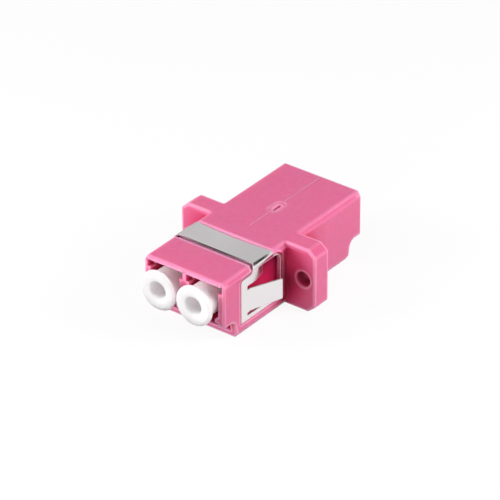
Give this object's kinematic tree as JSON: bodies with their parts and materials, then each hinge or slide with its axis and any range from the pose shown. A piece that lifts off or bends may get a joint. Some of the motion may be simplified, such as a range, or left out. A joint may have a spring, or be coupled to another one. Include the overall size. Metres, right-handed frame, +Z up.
{
  "type": "fibre optic adapter",
  "caption": "Flanged duplex fibre optic adapter with paired square ports at each end, a folded side spring clip, inner alignment sleeves and round pull-out dust plugs.",
  "frame": {"origin": "centre of the flange's panel face, halfway between its two screw holes", "axes": "+Y through the panel face towards the back ports, +X across the two ports, +Z up, away from the latch side"},
  "size_m": [0.0218, 0.0316, 0.0094],
  "materials": {
    "moulded_housing": "satin magenta moulded plastic",
    "spring_steel": "bright cold-rolled spring steel",
    "retainer_plastic": "satin magenta moulded plastic",
    "zirconia": "polished white ceramic",
    "soft_white_plastic": "soft translucent white plastic"
  },
  "bodies": {
    "adapter": {"housing": "moulded_housing", "spring_clip": "spring_steel", "sleeve_retainer_left": "retainer_plastic", "sleeve_retainer_right": "retainer_plastic", "split_sleeve_left": "zirconia", "split_sleeve_right": "zirconia"},
    "left_plug": {"dust_plug_left": "soft_white_plastic"},
    "right_plug": {"dust_plug_right": "soft_white_plastic"}
  },
  "joints": [
    {"name": "left_plug_pull", "type": "slide", "parent": "adapter", "child": "left_plug", "axis": [0, -1, 0], "range_m": [0, 0.008]},
    {"name": "right_plug_pull", "type": "slide", "parent": "adapter", "child": "right_plug", "axis": [0, -1, 0], "range_m": [0, 0.008]}
  ]
}
